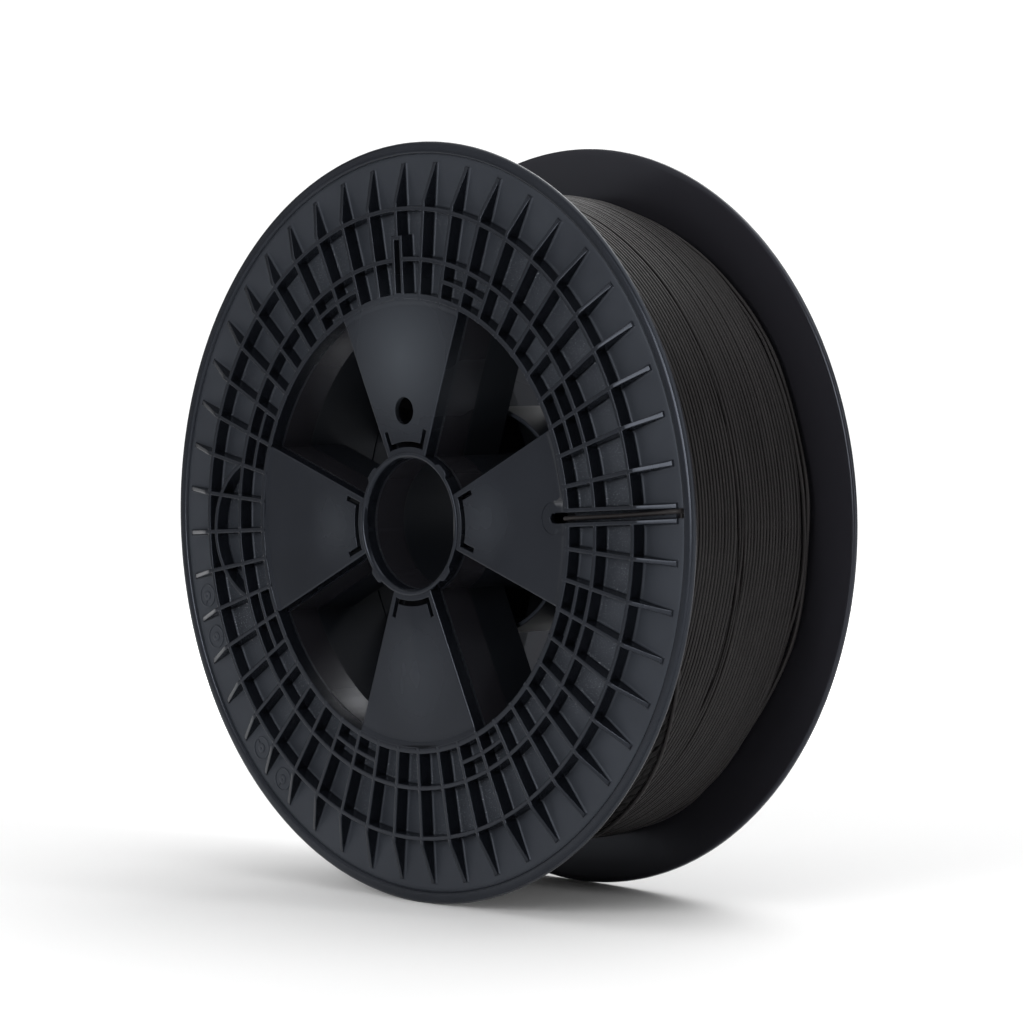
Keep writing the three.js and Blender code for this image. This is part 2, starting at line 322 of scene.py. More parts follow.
def face_radii():
    """Radii of the grid's lines on the flange's face, inside the rim."""
    radii = [WINDOW_RADIUS, WINDOW_RADIUS + 0.08, WINDOW_RADIUS + 0.3]
    radii += [DRUM_RADIUS + line for line in EDGE_LINES]
    for inner, outer in (RING_C, RING_B, RING_A):
        radii += [inner - line for line in EDGE_LINES] + [outer + line for line in EDGE_LINES]
    radii += [START_SLOT[2] + line for line in (-0.3, 0.02, 0.1, 0.6)]
    radii += [93.3, 100.3, 109, 118, RIB_BEND_RADIUS, 129.5, 132.5, 135.5, 138, 140]
    radii += [RIB_END_RADIUS + line for line in (-0.3, -0.05, 0.1, 0.5)]
    return sorted(radii)


# From the foot of the rim's bead over the rim and down the flange's inner face to the drum's end.
RIM_OUTLINE = (
    (143.6, FLOOR), (144.3, 44.95), (144.75, 44.8), (145.0, 44.76), (145.12, 45.1), (145.3, 45.5),
    (145.65, 45.83), (146.2, 45.97), (147.2, RIM_FACE), (148.3, 45.97), (149.1, 45.78), (149.7, 45.35),
    (149.95, 44.8), (150.0, 44.2), (149.9, 43.7), (149.55, 43.25), (148.9, 43.03),
    *((radius, WALL_INSIDE) for radius in (147.5, 140.0, 128.0, 110.0, 95.0, 91.6)), (90.8, 42.75),
    *((DRUM_RADIUS, height) for height in (42.0, 30.0, 15.0, 0.6)), (90.2, HALF_GAP),
)

# The drum's ends from the outside in: the front half's spigot and the rear half's socket.
SPIGOT = ((89.4, 0.15), (89.15, -0.1), (89.15, -5.7), (88.9, -6.0), (88.5, -6.0), (88.2, -5.7))
SOCKET = ((89.7, 0.15), (89.45, 0.4), (89.45, 6.0), (89.2, 6.3), (88.5, 6.3), (88.2, 6.6))


def flange(name, drum_end):
    """Wall, rings, ribs, rim and drum of a half, as one closed grid."""
    rib_angle, side, turn = np.array(flange_columns()).T
    turn = np.radians(turn)
    rows = [(radius, None) for radius in face_radii()]
    rows += list(RIM_OUTLINE) + list(drum_end) + [(WINDOW_RADIUS, 20.0), (WINDOW_RADIUS, 44.2)]
    grid = np.zeros((len(rows), len(side), 3))
    for row, (radius, height) in enumerate(rows):
        angles = np.radians(rib_angle) + np.arcsin(side / radius) + turn
        beside = np.where(turn > 0, radius * np.sin(turn), side)
        grid[row, :, 0] = radius * np.cos(angles)
        grid[row, :, 1] = radius * np.sin(angles)
        if height is not None:
            grid[row, :, 2] = height
            continue
        degrees = np.degrees(angles) % 360
        radii = np.full(len(side), float(radius))
        raised = relief(radii, beside, degrees)
        for rib in (0, 90):
            chosen = rib_angle == rib
            raised[chosen] = relief(radii, beside, degrees, rib)[chosen]
        grid[row, :, 2] = FLOOR + raised
    return ring_mesh(name, grid)


def start_slot_cutter():
    """The slot through the wall for the strand's first end."""
    inner, outer = START_SLOT[:2]
    half = START_SLOT_HALF
    outline = [(half, inner), (half, outer), (-half, outer), (-half, inner)]
    return cutter("start_slot", outline, WALL_INSIDE - 2, RIB_TOP, 0.25)


def notch_cutter():
    """The notch in the rim where the strand's last end comes through."""
    inner, outer = NOTCH
    half = CHANNEL_HALF
    outline = [(inner, -half), (outer, -half), (outer, half), (inner, half)]
    return cutter("notch", outline, WALL_INSIDE - 2, RIM_FACE, 0.2)


def arc_rib():
    """The curved rib opposite the channel."""
    section = [(-1.6, -0.5), (-1.2, 0.25), (-1.02, 0.8), (-0.92, 5.4), (-0.82, 5.85), (-0.6, 6.0)]
    section += [(-offset, height) for offset, height in section[::-1]]
    centre = np.array([ARC_RIB_CENTRE, 0])
    grid = []
    for angle in np.radians(np.linspace(180 - ARC_RIB_REACH, 180 + ARC_RIB_REACH, 97)):
        places = [centre + polar(ARC_RIB_RADIUS + offset, angle) for offset, _ in section]
        grid.append([(*place, FLOOR + height) for place, (_, height) in zip(places, section)])
    return loft_mesh("arc_rib", np.array(grid))


def dials():
    """Small generic marks on the wall: a raised ring with a button and a pointer in it."""
    low, high, bevel = FLOOR - 0.4, FLOOR + 0.28, 0.12
    pointer = [(2.3, -0.28), (3.9, -0.28), (3.9, 0.28), (2.3, 0.28)]
    parts = []
    for index, angle in enumerate(DIAL_ANGLES):
        for inner, outer in ((4.25, 4.95), (0.3, 2.0)):
            outline = [(inner, low), (outer, low), (outer, high - bevel), (outer - bevel, high),
                       (inner + bevel, high), (inner, high - bevel)]
            parts.append(lathe("dial", outline, 40))
        bar = np.array([[(u, v, height) for u, v in pointer] for height in (low, FLOOR + 0.24)])
        parts.append(loft_mesh("pointer", bar))
        pointing = 1.1 + 1.7 * index
        for part in parts[-3:]:
            part.data.transform(Matrix.Rotation(pointing, 4, "Z"))
            part.data.transform(Matrix.Translation((DIAL_RADIUS, 0, 0)))
            part.data.transform(Matrix.Rotation(math.radians(angle), 4, "Z"))
    return joined("dials", parts)


# ---- Spokes and hub ----

def tongue_outline():
    """The C-shaped slot beside the hub, counter-clockwise, for a spoke along +u."""
    inner, outer, half_angle, lean, half_width, leg = 30.3, 32.4, 16.5, 4.0, 1.0, 6.9

    def crossing(base, along, radius):
        b, c = base @ along, base @ base - radius * radius
        return base + along * (-b + math.sqrt(b * b - c))

    sides = []
    for sign in (-1, 1):
        foot = polar((inner + outer) / 2, math.radians(half_angle * sign))
        along = polar(1, math.radians((half_angle + lean) * sign))
        outward = np.array([-along[1], along[0]]) * sign
        far, near = foot + outward * half_width, foot - outward * half_width
        sides.append(
            (
                crossing(far - 4 * along, along, inner),
                far + along * leg,
                near + along * leg,
                crossing(near - 4 * along, along, outer),
            )
        )
    low, high = sides
    bearing = [[math.degrees(math.atan2(p[1], p[0])) for p in points] for points in sides]
    outer_arc = arc((0, 0), outer, bearing[0][3], bearing[1][3], 13)
    inner_arc = arc((0, 0), inner, bearing[1][0], bearing[0][0], 13)
    return [low[1], low[2], *outer_arc, high[2], high[1], *inner_arc]


def spoke_rise(radius, across, lift, crease):
    """How far a spoke's face stands from its flat plane. It is slightly dished, each spoke by its
    own amount, has a faint crease along its middle, and turns up where it meets the window ring."""
    along = np.clip((radius - 40) / 46, 0, 1)
    dish = -0.28 * np.sin(along * math.pi) * (1 - 0.6 * across**2)
    fold = np.exp(-np.abs(across) / 0.3) * (1 - along) * np.clip((radius - 33) / 8, 0, 1)
    turn_up = np.clip((radius - 85.6) / 2.4, 0, 1)
    return dish * lift + fold * crease + 0.34 * turn_up**2 * (3 - 2 * turn_up)


# Radii of a spoke's sections. The last few sink into the window ring.
SPOKE_RADII = (
    27.2, 28.6, 30, 32, 34, 36.5, 39, 42, 45, 48, 51, 54, 57, 60, 63, 66, 69, 72, 75, 78, 80.5, 82.5,
    84.2, 85.6, 86.2, 86.8, 87.4, 87.9, 88.3, 89.0,
)


def witness_line():
    """A fine groove round the channel's end, for the spoke along +u."""
    centre, radius, end = (81.2, 0), 6.0, 87.2
    out, back = radius + 0.17, radius - 0.17
    return [*arc(centre, out, 90, 270, 21), (end, -out), (end, -back),
            *arc(centre, back, 270, 90, 21), (end, back), (end, out)]


def spoke(angle, lift, crease):
    """A spoke with its two webs: a U-shaped bar between the hub and the window ring."""
    under = SPOKE_TOP - SPOKE_THICKNESS
    side = [
        (0.3, WEB_END), (0.08, WEB_END + 0.08), (0, WEB_END + 0.3), (0, 40.0), (0, SPOKE_TOP - 0.5),
        (0.08, SPOKE_TOP - 0.26), (0.26, SPOKE_TOP - 0.08), (0.5, SPOKE_TOP), (0.95, SPOKE_TOP),
    ]
    back = [
        (2.2, under), (1.9, under - 0.1), (1.7, under - 0.4), (WEB_THICKNESS, under - 1),
        (WEB_THICKNESS, WEB_END + 0.3), (1.5, WEB_END + 0.08), (1.3, WEB_END),
    ]
    top_shares = np.linspace(0.86, -0.86, 17)
    under_shares = np.linspace(-0.74, 0.74, 9)
    grid = []
    for radius in SPOKE_RADII:
        section = [(SPOKE_HALF_ANGLE - math.asin(e / radius), h) for e, h in side]
        section += [(share * SPOKE_HALF_ANGLE, SPOKE_TOP) for share in top_shares]
        section += [(math.asin(e / radius) - SPOKE_HALF_ANGLE, h) for e, h in side[::-1]]
        section += [(math.asin(e / radius) - SPOKE_HALF_ANGLE, h) for e, h in back[::-1]]
        section += [(share * SPOKE_HALF_ANGLE, under) for share in under_shares]
        section += [(SPOKE_HALF_ANGLE - math.asin(e / radius), h) for e, h in back]
        grid.append([(radius * math.cos(a), radius * math.sin(a), h) for a, h in section])
    made = loft_mesh("spoke", np.array(grid))
    cuts = [cutter("tongue", tongue_outline(), under - 1, SPOKE_TOP, 0.22)]
    if angle == 90:
        hole = arc((DRIVE_HOLE_PITCH, 0), DRIVE_HOLE_RADIUS + 0.1, 0, 352.5, 48)
        cuts.append(cutter("hole", hole, under - 1, SPOKE_TOP, 0.1))
    if angle == 0:
        end = arc((CHANNEL_START + CHANNEL_HALF, 0), CHANNEL_HALF, 90, 270, 17)
        channel = [*end, (92, -CHANNEL_HALF), (92, CHANNEL_HALF)]
        cuts.append(cutter("channel", channel, FLOOR, SPOKE_TOP, 0.25))
        cuts.append(cutter("witness", witness_line(), SPOKE_TOP - 0.25, SPOKE_TOP, 0.07))
    combine(made, joined("cuts", cuts), "DIFFERENCE")
    points = np.array([v.co for v in made.data.vertices])
    radius = np.hypot(points[:, 0], points[:, 1])
    across = np.arctan2(points[:, 1], points[:, 0]) / SPOKE_HALF_ANGLE
    upper = np.clip((points[:, 2] - under) / SPOKE_THICKNESS, 0, 1)
    points[:, 2] += spoke_rise(radius, across, lift, crease) * upper
    made.data.vertices.foreach_set("co", points.ravel())
    made.data.transform(Matrix.Rotation(math.radians(angle), 4, "Z"))
    return made


def hub():
    """The hub tube, with four small lobes round its outer end."""
    def lobes(angles, radius, height):
        inside_tube = radius < HUB_RADIUS - 0.7
        if inside_tube or height < SPOKE_TOP - SPOKE_THICKNESS:
            return 0 * angles
        from_lobe = np.abs(np.degrees(angles) % 90 - 45)
        return 1.5 * np.clip((7.2 - from_lobe) / 1.6, 0, 1)

    outline = [
        (BORE_RADIUS + 0.3, HALF_GAP), (HUB_RADIUS - 0.3, HALF_GAP), (HUB_RADIUS, 0.5),
        (HUB_RADIUS, 24.0), (HUB_RADIUS, 48.4), (HUB_RADIUS, 48.5), (HUB_RADIUS, 50.5),
        (HUB_RADIUS - 0.1, 50.85), (HUB_RADIUS - 0.4, RIB_TOP), (27.4, RIB_TOP), (27.0, RIB_TOP),
        (26.7, 50.9), (26.4, 50.6), (26.1, 50.15), (25.85, 49.7), (BORE_RADIUS, 49.2),
        (BORE_RADIUS, 24.0), (BORE_RADIUS, 0.5),
    ]
    return lathe("hub", outline, 240, lobes)


def drive_hole_lip():
    """The raised lip round the driving hole."""
    outline = [
        (DRIVE_HOLE_RADIUS, 48.9), (DRIVE_HOLE_RADIUS, 50.4), (5.38, 50.56), (5.55, 50.64),
        (5.85, 50.62), (6.2, 50.54), (6.5, 50.38), (6.5, 48.9),
    ]
    made = lathe("lip", outline, 64)
    made.data.transform(Matrix.Translation((0, DRIVE_HOLE_PITCH, 0)))
    return made


def collar():
    """The rear half's inner collar, round the hub."""
    outline = [
        (27.6, 26.4), (43.4, 26.4), (43.8, 26.0), (43.8, -7.7), (44.1, -8.0), (45.3, -8.0),
        (45.6, -7.7), (45.6, 27.6), (45.2, 28.0), (27.6, 28.0),
    ]
    return lathe("collar", outline, 128)


def half(name, drum_end, lifts, creases, extra=()):
    """One half of the spool. Each spoke has its own lift and crease, from 0 degrees on."""
    body = flange(name, drum_end)
    combine(body, joined("cuts", [start_slot_cutter(), notch_cutter()]), "DIFFERENCE")
    angles = (0, 90, 180, 270)
    spokes = [spoke(angle, lift, crease) for angle, lift, crease in zip(angles, lifts, creases)]
    combine(body, joined("spokes", spokes), "UNION")
    for part in (hub(), drive_hole_lip(), arc_rib(), dials(), *extra):
        combine(body, part, "UNION")
    return body


# ---- The filament ----

# Courses on the winding as (degrees round the axis, height). The strands step aside by one pitch
# between the crossover's two angles. BODY_END is where the full layers end at the rear.
CROSSOVER = (-21.0, -2.0)
BODY_END = ((-180, -35), (-75, -36), (-30, -34), (30, -34), (45, -33.5), (56, -32), (66, -29),
            (74, -27), (100, -27), (140, -33), (180, -35))
LOOSE_TURN = ((-118, -18.6), (-112, -18), (-96, -14), (-75, -7), (-60, 1.5), (-46, 10), (-32, 20),
              (-20, 29), (-11, 35.6))
GAP_LEFT = ((-38, 1.0), (-29, 0.8), (-14, 0.6), (1, 1.2), (16, 1.6), (31, 1.4), (46, 1.2), (60, 1.3),
            (75, 1.4), (96, 1.5))
GAP_RIGHT = ((-50, -2.6), (-40, -2.4), (-24, -2.2), (-9, -2.1), (5, -1.9))
OUTERMOST_TURN = (
    (104, -25.6), (90, -26), (75, -27), (70, -28), (60, -32), (50, -35.3), (40, -37.3), (33, -38.5),
    (25, -38.9), (5, -39), (-5, -38.2), (-25, -38.5), (-60, -38), (-75, -36), (-95, -34.4), (-110, -33.9),
)
SECOND_TURN = (
    (56, -32.4), (48, -33.6), (45, -34), (38, -34.8), (33, -36), (30, -36.5), (20, -36.1), (10, -35.8),
    (0, -36.5), (-15, -36.6), (-50, -36), (-72, -33.8), (-90, -33),
)


def smooth_step(value, low, high):
    share = np.clip((value - low) / (high - low), 0, 1)
    return share * share * (3 - 2 * share)


def course(line, degrees):
    """The height of a course at an angle."""
    return np.interp(degrees, *zip(*line))


def open_share(line, degrees):
    """How far a gap between strands is open at an angle, from 0 to 1: it closes at its two ends."""
    opening = smooth_step(degrees, line[0][0], line[1][0])
    return opening * (1 - smooth_step(degrees, line[-2][0], line[-1][0]))


def strand_surface(degrees, height, random):
    """The radius of the wound strands' surface at an angle and a height."""
    radius = FILAMENT_DIAMETER / 2
    place = height + STRAND_PITCH * smooth_step(degrees, *CROSSOVER)
    gaps = [
        (width, height - course(line, degrees), open_share(line, degrees))
        for line, width in ((GAP_LEFT, 0.6), (GAP_RIGHT, 0.15))
    ]
    for width, past, share in gaps:
        place = place - width * share * smooth_step(past, -0.35, 0.35)
    number = np.round(place / STRAND_PITCH)
    beside = place - number * STRAND_PITCH
    wander = random[(number + 60).astype(int) % len(random)]
    waves = np.sin(np.radians(degrees) * 3 + wander * 40) * 0.05 + wander * 0.12
    surface = WOUND_RADIUS - radius + np.sqrt(np.maximum(radius**2 - beside**2, 0.004)) + waves
    for _, past, share in gaps:
        surface = surface - 2.4 * share * (1 - smooth_step(np.abs(past), 0.12, 0.42))
    lower = smooth_step(height - course(LOOSE_TURN, degrees), 0.9, 1.4)
    lower = lower * smooth_step(degrees, -118, -112) * (1 - smooth_step(degrees, -28, -24))
    beyond = course(BODY_END, degrees) - height
    surface = surface - 1.5 * lower - 3.1 * smooth_step(beyond, 0, 0.5)
    return surface - 0.35 * np.maximum(beyond - 2, 0)


def around(radius, degrees, height):
    """A point in the local frame from its place on the winding."""
    return (*polar(radius, math.radians(degrees)), height)


def smooth_path(points, per_span):
    """A smooth curve through the points (a centripetal Catmull-Rom spline)."""
    points = np.array(points, float)
    padded = np.vstack([2 * points[0] - points[1], points, 2 * points[-1] - points[-2]])
    gaps = np.maximum(np.linalg.norm(np.diff(padded, axis=0), axis=1), 1e-6) ** 0.5
    path = []
    for i in range(1, len(padded) - 2):
        p0, p1, p2, p3 = padded[i - 1 : i + 3]
        a, b, c = gaps[i - 1 : i + 2]
        m1 = (p1 - p0) / a - (p2 - p0) / (a + b) + (p2 - p1) / b
        m2 = (p2 - p1) / b - (p3 - p1) / (b + c) + (p3 - p2) / c
        for t in np.arange(per_span) / per_span:
            h1 = 2 * t**3 - 3 * t**2 + 1
            h2 = t**3 - 2 * t**2 + t
            h3 = -2 * t**3 + 3 * t**2
            h4 = t**3 - t**2
            path.append(h1 * p1 + h2 * b * m1 + h3 * p2 + h4 * b * m2)
    path.append(padded[-2])
    return np.array(path)


def strand(name, points, per_span, sides):
    """A round strand along a smooth path, with a cut end rounded at its edge."""
    path = smooth_path(points, per_span)
    along = np.gradient(path, axis=0)
    along /= np.linalg.norm(along, axis=1)[:, None]
    normal = np.cross(along[0], (0.3, 0.2, 0.9))
    grid = []
    turn = np.arange(sides) * 2 * math.pi / sides
    radius = FILAMENT_DIAMETER / 2
    last = len(path) - 1
    sections = [(0, -0.15, 0.8), *((i, 0.0, 1.0) for i in range(len(path)))]
    sections += [(last, 0.18, 0.93), (last, 0.26, 0.72)]
    for i, ahead, share in sections:
        normal = normal - along[i] * (normal @ along[i])
        normal /= np.linalg.norm(normal)
        binormal = np.cross(along[i], normal)
        reach = radius * share
        grid.append(
            path[i]
            + along[i] * ahead
            + np.outer(np.cos(turn), normal) * reach
            + np.outer(np.sin(turn), binormal) * reach
        )
    return loft_mesh(name, np.array(grid))


def winding():
    """The wound filament: its strands' surface as one closed grid, and the two outermost turns at
    the rear, which lie apart from the rest."""
    random = np.random.default_rng(5).uniform(-0.5, 0.5, 128)
    rear, front, inner = -42.2, 42.2, DRUM_RADIUS + 0.3
    heights = np.arange(rear + 1.2, front - 0.4, STRAND_PITCH / 8)
    degrees = np.linspace(-180, 180, 240, endpoint=False)
    rows = [(strand_surface(degrees, np.full(len(degrees), height), random), height) for height in heights]
    middle = (WOUND_RADIUS + inner) / 2
    rows += [
        (WOUND_RADIUS - 1.6, front), (middle, front), (inner, front), (inner, 0.0), (inner, rear),
        (middle, rear), (WOUND_RADIUS - 9, rear),
    ]
    grid = np.zeros((len(rows), len(degrees), 3))
    for row, (radius, height) in enumerate(rows):
        grid[row, :, 0] = radius * np.cos(np.radians(degrees))
        grid[row, :, 1] = radius * np.sin(np.radians(degrees))
        grid[row, :, 2] = height
    body = ring_mesh("filament_winding_strands", grid)
    lying = WOUND_RADIUS - FILAMENT_DIAMETER / 2 - 0.1
    for name, turns in (("outermost", OUTERMOST_TURN), ("second", SECOND_TURN)):
        points = [around(lying, *turn) for turn in turns]
        for end in (0, -1):
            points[end] = around(lying - 0.9, *turns[end])
        combine(body, strand(name, points, 8, 12), "UNION")
    return body


def filament_end():
    """The last turn, which crosses to the front flange, goes out through the notch and lies in the
    channel."""
    resting = WOUND_RADIUS + FILAMENT_DIAMETER / 2 + 0.25
    points = [
        around(resting - 0.6, -118, -18.6), around(resting, -112, -18), around(resting, -96, -14),
        around(resting, -75, -7), around(resting, -60, 1.5), around(resting, -46, 10),
        around(resting, -32, 20), around(resting + 1.2, -20, 29), around(135.6, -11, 35.6),
        around(140, -4.5, 39.5), around(143, -0.7, 41.6), around(143.5, 0.25, 43.2),
        around(143.1, 0.3, FLOOR + 0.4), around(140.3, 0.3, FLOOR + 1.6),
        around(132, 0.2, FLOOR + 1.5), around(112, 0, FLOOR + 1.7), around(96, -0.1, FLOOR + 2.2),
        around(85.6, -0.2, FLOOR + 3.2),
    ]
    return strand("filament_loose_end", points, 10, 16)


# ---- Materials ----

class Nodes:
    """The node tree of a material or world, with short calls for what is used here."""

    def __init__(self, tree, space):
        self.tree = tree
        coordinates = tree.nodes.new("ShaderNodeTexCoord")
        self.place = coordinates.outputs[space]

    def link(self, source, target):
        self.tree.links.new(source, target)

    def noise(self, scale, detail, roughness, stretch=None):
        node = self.tree.nodes.new("ShaderNodeTexNoise")
        node.inputs["Scale"].default_value = scale
        node.inputs["Detail"].default_value = detail
        node.inputs["Roughness"].default_value = roughness
        if stretch is None:
            self.link(self.place, node.inputs["Vector"])
        else:
            mapping = self.tree.nodes.new("ShaderNodeMapping")
            mapping.inputs["Scale"].default_value = stretch
            self.link(self.place, mapping.inputs["Vector"])
            self.link(mapping.outputs["Vector"], node.inputs["Vector"])
        return node.outputs["Fac"]

    def ramp(self, value, stops):
        node = self.tree.nodes.new("ShaderNodeValToRGB")
        elements = node.color_ramp.elements
        while len(elements) < len(stops):
            elements.new(0.5)
        for element, (position, colour) in zip(elements, stops):
            element.position = position
            element.color = (*colour, 1)
        self.link(value, node.inputs["Fac"])
        return node.outputs["Color"]

    def levels(self, value, from_low, from_high, to_low, to_high):
        """A value's range stretched onto another range, and held at its ends."""
        node = self.tree.nodes.new("ShaderNodeMapRange")
        for name, number in zip(
            ("From Min", "From Max", "To Min", "To Max"), (from_low, from_high, to_low, to_high)
        ):
            node.inputs[name].default_value = number
        self.link(value, node.inputs["Value"])
        return node.outputs["Result"]

    def math(self, operation, a, b=0.0):
        node = self.tree.nodes.new("ShaderNodeMath")
        node.operation = operation
        for index, value in enumerate((a, b)):
            if isinstance(value, (int, float)):
                node.inputs[index].default_value = value
            else:
                self.link(value, node.inputs[index])
        return node.outputs["Value"]

    def vector_math(self, operation, vector, other=(0, 0, 0)):
        node = self.tree.nodes.new("ShaderNodeVectorMath")
        node.operation = operation
        self.link(vector, node.inputs[0])
        node.inputs[1].default_value = other
        return node.outputs

    def mix(self, factor, a, b):
        """A colour between a and b. Blender's sockets 0, 6 and 7 are the factor and the colours."""
        node = self.tree.nodes.new("ShaderNodeMix")
        node.data_type = "RGBA"
        for socket, value in ((0, factor), (6, a), (7, b)):
            if isinstance(value, (int, float)):
                node.inputs[socket].default_value = value
            elif isinstance(value, tuple):
                node.inputs[socket].default_value = (*value, 1)
            else:
                self.link(value, node.inputs[socket])
        return node.outputs[2]

    def bump(self, height, strength, distance):
        node = self.tree.nodes.new("ShaderNodeBump")
        node.inputs["Strength"].default_value = strength
        node.inputs["Distance"].default_value = distance
        self.link(height, node.inputs["Height"])
        self.set(Normal=node.outputs["Normal"])

    def standing(self, height):
        """1 beyond a distance in metres from the middle plane, else 0."""
        parts = self.tree.nodes.new("ShaderNodeSeparateXYZ")
        self.link(self.place, parts.inputs[0])
        distance = self.math("ABSOLUTE", parts.outputs["Y"])
        return self.levels(distance, height, height + 0.0002, 0, 1)

    def nearness(self, point, inner, outer):
        """1 within the inner distance of a point of the flat faces, given as (x, z) in metres, and 0
        beyond the outer one."""
        flat = self.vector_math("MULTIPLY", self.place, (1, 0, 1))["Vector"]
        distance = self.vector_math("DISTANCE", flat, (point[0], 0, point[1]))["Value"]
        return self.levels(distance, inner, outer, 1, 0)

    def set(self, **values):
        """Sets or links the material's shader's sockets."""
        shader = self.tree.nodes["Principled BSDF"]
        for name, value in values.items():
            socket = shader.inputs[name.replace("_", " ")]
            if isinstance(value, (int, float, tuple)):
                socket.default_value = value
            else:
                self.link(value, socket)


def new_material(name):
    """A new material and its nodes."""
    material = bpy.data.materials.new(name)
    material.use_nodes = True
    return material, Nodes(material.node_tree, "Object")


def moulding_material():
    """Black-blue moulded plastic: glossy on its raised faces, rougher on the wall between the ribs with
    pale specks there as painted glints, a fine grain, pale patches painted on the spokes as highlights,
    and a lighter tone painted as light near the flanges' inner faces."""
    material, nodes = new_material("moulded_plastic")
    past_inner_faces = nodes.standing((FLOOR - 0.8) * MM)
    on_wall = nodes.math("SUBTRACT", past_inner_faces, nodes.standing((FLOOR + 0.35) * MM))
    past_inside = nodes.standing(0.03)
    inner_faces = nodes.math("SUBTRACT", past_inside, past_inner_faces)
    inside = nodes.levels(past_inside, 0, 1, 1, 0)

    cloud = nodes.noise(26, 4, 0.6)
    raised = nodes.ramp(cloud, [(0.3, (0.0048, 0.0056, 0.0078)), (0.7, (0.0075, 0.0087, 0.0118))])
    wall = nodes.ramp(cloud, [(0.3, (0.0125, 0.0142, 0.018)), (0.7, (0.02, 0.0225, 0.0275))])
    # Painted glints: pale specks in patches on the wall inside ring A.
    painted_glints = nodes.levels(nodes.noise(2200, 1, 0.4), 0.65, 0.72, 0, 1)
    patches = nodes.levels(nodes.noise(34, 2, 0.5), 0.42, 0.66, 0.1, 1)
    within_ring_a = nodes.nearness((0, 0), 0.123, 0.1245)
    painted_glints = nodes.math("MULTIPLY", nodes.math("MULTIPLY", painted_glints, patches), within_ring_a)
    wall = nodes.mix(painted_glints, wall, (0.22, 0.23, 0.245))
    # Painted light: everything from 30 mm off the middle plane out to the flanges' inner faces gets a
    # lighter colour of the same plastic.
    colour = nodes.mix(inner_faces, raised, (0.018, 0.0175, 0.0215))
    colour = nodes.mix(on_wall, colour, wall)

    # Painted highlights: pale round patches on the spokes, full strength on the upper spoke and fainter on
    # the others, which are also made rougher.
    painted_highlight = nodes.nearness((0.0, 0.066), 0, 0.035)
    for point, reach in (((0.043, 0.0), 0.018), ((-0.043, 0.0), 0.018), ((0.0, -0.06), 0.026)):
        fainter = nodes.math("MULTIPLY", nodes.nearness(point, 0, reach), 0.35)
        painted_highlight = nodes.math("MAXIMUM", painted_highlight, fainter)
    colour = nodes.mix(nodes.math("MULTIPLY", painted_highlight, 0.8), colour, (0.038, 0.043, 0.05))

    roughness = nodes.levels(nodes.noise(45, 3, 0.6, (1, 0.2, 0.35)), 0.3, 0.7, 0.2, 0.26)
    for mask, rougher in ((on_wall, 0.24), (inside, 0.4), (painted_highlight, 0.2)):
        roughness = nodes.math("ADD", roughness, nodes.math("MULTIPLY", mask, rougher))
    nodes.set(Base_Color=colour, Roughness=roughness, Specular_IOR_Level=0.3)
    nodes.set(Specular_Tint=(0.78, 0.85, 1.0, 1))
    grain = nodes.math("MULTIPLY", nodes.noise(2200, 2, 0.6), nodes.levels(on_wall, 0, 1, 0.25, 1.2))
    nodes.bump(grain, 0.2, 0.00003)
    return material


def filament_material():
    """Dark warm filament, slightly glossy, with a different tone from strand to strand and painted shade,
    near black, in the grooves between strands, where Blender's pointiness is low."""
    material, nodes = new_material("filament_plastic")
    bands = nodes.noise(160, 2, 0.5, (0.15, 1, 0.15))
    colour = nodes.ramp(bands, [(0.3, (0.0145, 0.013, 0.0135)), (0.7, (0.0225, 0.0205, 0.021))])
    dust = nodes.levels(nodes.noise(1100, 2, 0.5), 0.64, 0.76, 0, 0.6)
    colour = nodes.mix(dust, colour, (0.05, 0.043, 0.038))
    # Painted shade: the grooves between strands, where pointiness is low, are coloured near black.
    pointiness = nodes.tree.nodes.new("ShaderNodeNewGeometry").outputs["Pointiness"]
    painted_groove_shade = nodes.levels(pointiness, 0.48, 0.515, 1, 0)
    colour = nodes.mix(painted_groove_shade, colour, (0.001, 0.001, 0.001))
    roughness = nodes.levels(nodes.noise(500, 3, 0.6), 0.3, 0.7, 0.32, 0.45)
    nodes.set(Base_Color=colour, Roughness=roughness, Specular_IOR_Level=0.15)
    nodes.bump(nodes.noise(1600, 2, 0.6), 0.3, 0.00004)
    return material


# ---- The spool ----

moulding = moulding_material()
filament = filament_material()

front_half = turned_into_place(
    half("front_half_moulding", SPIGOT, (1.0, -0.8, 1.0, 0.3), (0.05, 0.35, 0.05, 0.35))
)
rear_half = turned_into_place(
    half("rear_half_moulding", SOCKET, (0.8, 0.8, 1.0, 0.6), (0.1, 0.2, 0.1, 0.2), [collar()]),
    rear=True,
)
wound = turned_into_place(winding())
loose_end = turned_into_place(filament_end())

for piece, node, material, slot, sharp in (
    (front_half, "front_half", moulding, "moulding", 50),
    (rear_half, "rear_half", moulding, "moulding", 50),
    (wound, "filament_winding", filament, "filament", 80),
    (loose_end, "filament_end", filament, "filament", 60),
):
    piece.data.materials.clear()
    piece.data.materials.append(material)
    shade(piece, sharp)
    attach(piece, "root")
    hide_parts(node)


# ---- The stage: camera, floor and light ----

# The photograph shows the spool turned a little about its axis, so the camera and the floor are
# turned back by that angle instead.
ROLLED = math.radians(3.486)
CAMERA_PLACE = (1.139117, -1.076392, 0.073394)
CAMERA_YAW, CAMERA_PITCH = 0.8112315, 0.0447976
PAPER_RADIUS = 6.0
PAPER_SIDES = 96
unrolled = Matrix.Rotation(ROLLED, 4, "Y")


